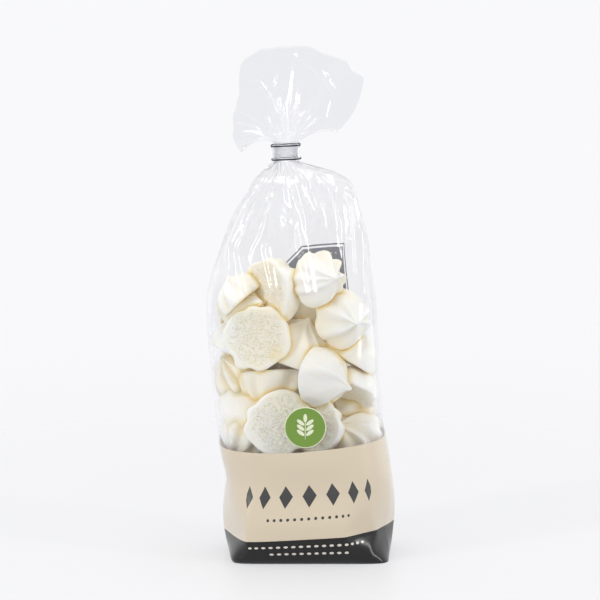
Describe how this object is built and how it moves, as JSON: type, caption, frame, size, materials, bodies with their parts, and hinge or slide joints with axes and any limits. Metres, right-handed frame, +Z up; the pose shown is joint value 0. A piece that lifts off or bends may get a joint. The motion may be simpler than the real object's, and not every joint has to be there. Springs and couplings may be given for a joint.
{
  "type": "bag of meringue cookies",
  "caption": "Clear film bag of star-piped meringue cookies: flat block bottom, gathered neck in a wired clip strip, film fanned out on top, round sticker on the front.",
  "frame": {"origin": "the middle of the bag's flat foot, on the floor", "axes": "+Z up, along the bag; the front with the sticker faces -Y; +X to the right as seen from the front"},
  "size_m": [0.1105, 0.0703, 0.2971],
  "materials": {
    "film": "clear glossy film, crinkled, printed cream and black round the foot",
    "clip_strip": "clear glossy strip",
    "clip_wire": "dark drawn wire",
    "sticker": "satin coated paper",
    "meringue": "dry baked meringue, smooth ridges and a porous flat underside"
  },
  "bodies": {
    "root": {"bag": "film", "clip_strip": "clip_strip", "clip_wire_upper": "clip_wire", "clip_wire_lower": "clip_wire", "sticker": "sticker"}
  },
  "joints": []
}
